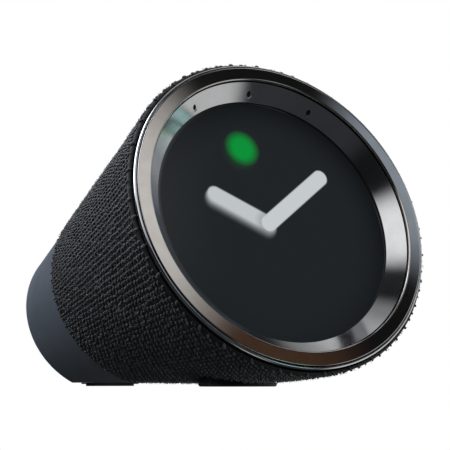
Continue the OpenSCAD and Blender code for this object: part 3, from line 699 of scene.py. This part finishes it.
hairPoints = hairCore[:, :, None] + sideways * hairThickness
hairFaces = np.concatenate([halved(gridFaces(4, 3, False, True)), [[2, 1, 0], [9, 10, 11]]])
repeatedPiece("looseFibres", hairPoints.reshape(hairCount, -1, 3), hairFaces, lint)


# The cap in millimetres: lip and edge are the radii of its two rolled ends, port the half width
# and half height of the opening, and portDepths how far in its wall is followed
capLook = {
    "underside": 1.32, "inset": 0.4, "wall": 1.2, "lip": 0.5, "seamGap": 0.02, "edge": 6.8,
    "arcPoints": 385, "flatPoints": 12, "buttonHole": 3.7, "firstButton": 105.5,
    "buttonPitch": 9.0, "port": (18.0, 7.0), "portRise": 8.0, "portDepths": (0.15, 1.6),
}
lipTurn = np.linspace(np.pi / 2, 0, 6)
edgeTurn = np.linspace(0, np.pi / 2, 17)
lipDepth = bodyShape["seam"] + capLook["lip"] * (1 - np.sin(lipTurn))
sideDepth = np.arange(101, 137.51, 0.5)
endRadius = sectionRadius(bodyShape["taperEnd"]) - bodyShape["rearEdge"]
capDepth = np.concatenate([lipDepth + capLook["seamGap"], sideDepth,
                           bodyShape["taperEnd"] + capLook["edge"] * np.sin(edgeTurn)])
capRadius = np.concatenate([
    sectionRadius(lipDepth) - capLook["inset"] - capLook["lip"] * (1 - np.cos(lipTurn)),
    sectionRadius(sideDepth) - capLook["inset"],
    endRadius + capLook["edge"] * np.cos(edgeTurn)])
capRise = sectionRise(np.minimum(capDepth, bodyShape["taperEnd"]))
capT = np.arange(len(capDepth), dtype=float)


# The section at row t: its depth, radius and rise, where the flat underside cuts it, and the
# angle from the top round to there
def capSection(t):
    d, r, rise = (np.interp(t, capT, values) for values in (capDepth, capRadius, capRise))
    low = (capLook["underside"] - stance["height"] + d * sinTilt) / cosTilt
    return d, r, rise, low, np.arccos(np.clip((low - rise) / r, -1, 1))


# The cap's section at row t: an arc from one side of the flat underside to the other, for
# u from -1 to 1, then straight along the underside for u from 1 to 2 and -2 to -1
def capPlace(u, t):
    d, r, rise, low, reach = capSection(t)
    arc = reach * np.clip(u, -1, 1)
    onArc = np.abs(u) <= 1
    x = np.where(onArc, r * np.sin(arc), r * np.sin(reach) * (2 - np.abs(u)) * np.sign(u))
    return toFrame(x, np.where(onArc, rise + r * np.cos(arc), low), d)


flatSteps = np.linspace(1, 2, capLook["flatPoints"] + 1)
capU = np.concatenate([-flatSteps[:0:-1], np.linspace(-1, 1, capLook["arcPoints"]),
                       flatSteps[1:-1]])
topIndex = capLook["flatPoints"] + capLook["arcPoints"] // 2


# A button's hole: a cylinder straight up through the cap's top line. Each point of the block's
# edge moves along a ray from the button's centre to the hole's radius
def buttonHole(depth):
    j = int(np.argmin(np.abs(capDepth - depth)))

    def rim(edge):
        d, r, rise, low, reach = capSection(edge[:, 1])
        at = np.stack([r * np.sin(reach * edge[:, 0]), d - depth], -1)
        at = at / np.linalg.norm(at, axis=1, keepdims=True) * capLook["buttonHole"]
        t = np.interp(depth + at[:, 1], capDepth, capT)
        d, r, rise, low, reach = capSection(t)
        return np.stack([np.arcsin(at[:, 0] / r) / reach, t], -1)

    return {"block": (topIndex - 11, topIndex + 11, j - 8, j + 8), "rim": rim, "axis": -faceUp,
            "down": [0.15, 0.8]}


buttonDepths = [capLook["firstButton"] + capLook["buttonPitch"] * k for k in range(4)]
capPoints, capFaces = holedSurface(capU, capT, capPlace, [buttonHole(d) for d in buttonDepths])

# The rear face: rays from the port opening's edge out to the end of the cap. The opening is
# |x / half width|^10 + |y / half height|^10 = 1, which stands in for rounded corners
capRim = capPlace(capU, np.full(len(capU), capT[-1])) / mm
rimX = capRim[:, 0]
rimY = (capRim[:, 1] + stance["back"]) * sinTilt + (capRim[:, 2] - stance["height"]) * cosTilt
ray = np.stack([rimX, rimY - capLook["portRise"]], -1)
ray = ray / np.linalg.norm(ray, axis=1, keepdims=True)
portEdge = ray / (np.abs(ray / capLook["port"]) ** 10).sum(1, keepdims=True) ** 0.1
outward = np.array([1.0, 0.7, 0.4, 0.15, 0.03, 0.0])[:, None]
faceX = portEdge[:, 0] * (1 - outward) + rimX * outward
faceY = (portEdge[:, 1] + capLook["portRise"]) * (1 - outward) + rimY * outward
rearFace = toFrame(faceX, faceY, capDepth[-1])
portWall = toFrame(faceX[-1:], faceY[-1:],
                   capDepth[-1] - np.array(capLook["portDepths"])[:, None])
rearPoints = np.concatenate([rearFace, portWall])
rearFaces = gridFaces(len(rearPoints), len(capU), False, True) + len(capPoints)
cap = makePiece("rearCap", np.concatenate([capPoints, rearPoints.reshape(-1, 3)]),
                np.concatenate([capFaces, rearFaces]), materials["cap_plastic"],
                slot="cap_plastic", replaces=["rear_cap"], smooth=38)
giveWall(cap, capLook["wall"])
print("rear cap made")

# Buttons: flat-topped plugs with a shallow dish, one on each key, as an outline of (radius,
# height) turned about the line straight up through the key
buttonLook = {
    "stands": 0.5, "segments": 64,
    "outline": [(0.001, -0.18), (1.2, -0.17), (2.2, -0.1), (2.7, -0.02), (2.95, 0.0),
                (3.15, -0.03), (3.32, -0.14), (3.4, -0.34), (3.4, -1.2), (3.4, -2.6),
                (0.001, -2.6)],
}
buttons = [("volumeDownButton", "volume_down_button", "volume_down_key"),
           ("actionButton", "action_button", "action_key"),
           ("volumeUpButton", "volume_up_button", "volume_up_key"),
           ("micMuteButton", "mic_mute_button", "mic_mute_key")]
buttonR, buttonY = np.array(buttonLook["outline"]).T
buttonTurn = fullTurn(buttonLook["segments"])
for (name, node, body), depth in zip(buttons, buttonDepths):
    top = sectionRise(depth) + sectionRadius(depth) - capLook["inset"] + buttonLook["stands"]
    buttonPoints = toFrame(buttonR * np.cos(buttonTurn), top + buttonY,
                           depth + buttonR * np.sin(buttonTurn))
    makePiece(name, buttonPoints, gridFaces(buttonLook["segments"], len(buttonR), True),
              materials["button_plastic"], body=body, slot="button_plastic", replaces=[node],
              smooth=50)
print("buttons made:", len(buttons))


# A merged copy of a CAD node with its coplanar triangles joined and its edges rounded
def softened(node, name, width, slot, angle=math.radians(35)):
    mesh = nodes[node].data.copy()
    mesh.name = name
    bm = bmesh.new()
    bm.from_mesh(mesh)
    bmesh.ops.remove_doubles(bm, verts=bm.verts, dist=1e-6)
    bmesh.ops.dissolve_limit(bm, angle_limit=math.radians(1), verts=bm.verts, edges=bm.edges)
    bm.to_mesh(mesh)
    bm.free()
    mesh.materials.clear()
    mesh.materials.append(materials[slot])
    mesh.shade_smooth()
    mesh.set_sharp_from_angle(angle=angle)
    piece = bpy.data.objects.new(name, mesh)
    bpy.context.scene.collection.objects.link(piece)
    bevel = piece.modifiers.new("edges", "BEVEL")
    bevel.width, bevel.segments = width * mm, 3
    bevel.limit_method, bevel.angle_limit = "ANGLE", angle
    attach(piece, "speaker_body")
    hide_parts(node)


softened("front_foot", "frontFoot", 0.2, "foot_rubber")
softened("rear_foot", "rearFoot", 0.15, "foot_rubber")
softened("port_panel", "portPanel", 0.2, "black_plastic")
softened("power_inlet", "powerInlet", 0.12, "plate_steel")
softened("service_port", "servicePort", 0.1, "plate_steel")

# The CAD nodes that stay take the finish of their slot
nodeSlots = {
    "diffuser_plastic": ["light_diffuser"],
    "circuit_board": ["display_panel", "mic_board", "port_board", "button_board", "main_board"],
    "plate_steel": ["display_backplate", "microphones", "shield_can", "button_switches"],
    "screw_steel": ["frame_screws", "cap_screws", "flange_screws", "board_screws",
                    "board_standoffs"],
    "black_plastic": ["front_frame", "grille_housing", "front_hoop", "rear_hoop", "speaker_drum",
                      "drum_bracket", "processor", "wifi_antenna"],
    "black_foam": ["mic_gaskets", "flange_gaskets"],
    "basket_metal": ["left_basket", "right_basket"],
    "magnet_steel": ["left_magnet", "right_magnet"],
    "copper_coil": ["left_voice_coil", "right_voice_coil"],
    "cone_paper": ["left_cone", "right_cone"],
    "spider_cloth": ["left_spider", "right_spider"],
    "surround_rubber": ["left_surround", "right_surround"],
    "thermal_silicone": ["thermal_pad"],
    "sink_aluminium": ["heat_sink"],
    "capacitor_can": ["power_capacitors"],
    "flat_cable": ["display_cable"],
    "wire_insulation": ["power_lead", "speaker_leads", "button_cable"],
}
for slot, names in nodeSlots.items():
    for name in names:
        nodes[name].data.materials.clear()
        nodes[name].data.materials.append(materials[slot])
print("nodes with a finish:", sum(len(names) for names in nodeSlots.values()))


# The camera's place in metres, and its yaw, pitch and roll in degrees
cameraLook = {"place": (-0.2850, -0.5079, 0.0018), "turn": (30.67, 5.58, -0.06), "lens": 128,
              "sensor": 36, "near": 0.01, "far": 20}
camera = bpy.data.objects.new("camera", bpy.data.cameras.new("camera"))
bpy.context.scene.collection.objects.link(camera)
camera.data.lens, camera.data.sensor_width = cameraLook["lens"], cameraLook["sensor"]
camera.data.clip_start, camera.data.clip_end = cameraLook["near"], cameraLook["far"]
yaw, pitch, roll = (math.radians(a) for a in cameraLook["turn"])
camera.matrix_world = (Matrix.Translation(cameraLook["place"])
                       @ Matrix.Rotation(-yaw, 4, "Z")
                       @ Matrix.Rotation(math.pi / 2 + pitch, 4, "X")
                       @ Matrix.Rotation(roll, 4, "Z"))
bpy.context.scene.camera = camera

# The floor, a little under the feet, is plain white to the camera and pale to other light
floorLook = {"half": 3.0, "drop": 0.0002, "pale": (0.8, 0.8, 0.8), "white": (1.0, 1.0, 1.0)}
floorMaterial, floorShade = newMaterial("floor_white")
pale = floorShade.node("BsdfDiffuse", {}, {"Color": floorLook["pale"], "Roughness": 1.0})
white = floorShade.node("Emission", {}, {"Color": floorLook["white"], "Strength": 1.0})
fromCamera = floorShade.node("LightPath", output="Is Camera Ray")
both = floorShade.node("MixShader", {}, {0: fromCamera, 1: pale, 2: white})
floorShade.close("OutputMaterial", both)
floorMesh = bpy.data.meshes.new("floor")
half, low = floorLook["half"], -floorLook["drop"]
floorMesh.from_pydata([(-half, -half, low), (half, -half, low), (half, half, low),
                       (-half, half, low)], [], [(0, 1, 2, 3)])
floorMesh.materials.append(floorMaterial)
floor = bpy.data.objects.new("floor", floorMesh)
bpy.context.scene.collection.objects.link(floor)
floor.visible_glossy = floor.visible_diffuse = floor.visible_shadow = False

# Soft boxes round the object: azimuth from the front towards +X and elevation in degrees,
# half width, softness of the edge in degrees, strength and tint
softBoxes = {
    "warmFront": (15, 43.5, 12.5, 7.5, 1.08, (1.0, 1.0, 1.0)),
    "coolRight": (63, 35, 7, 4, 0.55, (0.78, 0.93, 1.12)),
    "whiteLeft": (-61, 37, 17.5, 10, 1.32, (1.0, 1.0, 1.0)),
    "topBack": (142, 52, 24, 10, 0.34, (0.98, 0.99, 1.0)),
    "topRight": (96, 57, 12, 6, 1.4, (1.0, 1.0, 1.0)),
    "lowRight": (84, -12, 36, 8, 0.75, (1.0, 0.99, 0.97)),
    "backLeft": (-128, 43, 22, 10, 6.8, (0.93, 0.97, 1.04)),
    "rightRim": (78, 28, 8, 4, 1.3, (0.88, 0.95, 1.05)),
    "greenFront": (24, -16, 10, 6, 1.25, (0.66, 1.0, 0.95)),
    "greenSide": (85, 9, 9, 5, 0.6, (0.74, 1.0, 1.0)),
    "brownLow": (30, 20, 9, 6, 0.09, (1.0, 0.5, 0.25)),
    "table": (0, -90, 80, 6, 0.034, (0.92, 0.98, 1.06)),
    "under": (-20, -78, 10, 6, 1.2, (1.0, 0.99, 0.98)),
    "overhead": (165, 78, 12, 8, 0.34, (1.0, 1.0, 1.0)),
}
world = bpy.data.worlds.new("studio")
bpy.context.scene.world = world
world.use_nodes = True
sky = Shader(world.node_tree)
direction = sky.node("TexCoord", output="Generated")

# Each soft box is added where the direction is within its width, fading over its soft edge by
# mask^2 (3 - 2 mask); the camera itself sees plain white
light = (0.012, 0.0125, 0.0135)
for azimuth, elevation, wide, soft, strength, tint in softBoxes.values():
    a, e = math.radians(azimuth), math.radians(elevation)
    towards = (math.sin(a) * math.cos(e), -math.cos(a) * math.cos(e), math.sin(e))
    facing = sky.node("VectorMath", {"operation": "DOT_PRODUCT"}, {0: direction, 1: towards},
                      output="Value")
    inner = math.cos(math.radians(max(wide - soft, 0)))
    outer = math.cos(math.radians(wide + soft))
    mask = facing.ramp(outer, inner)
    mask = mask * mask * (3 - 2 * mask)
    light = sky.mix(mask, light, tuple(strength * c for c in tint), "ADD")
seen = sky.mix(sky.node("LightPath", output="Is Camera Ray"), light, (1.0, 1.0, 1.0))
sky.close("OutputWorld", sky.node("Background", {}, {"Color": seen, "Strength": 1.0}))
bpy.context.scene.view_settings.view_transform = "Standard"
print("light and camera set")
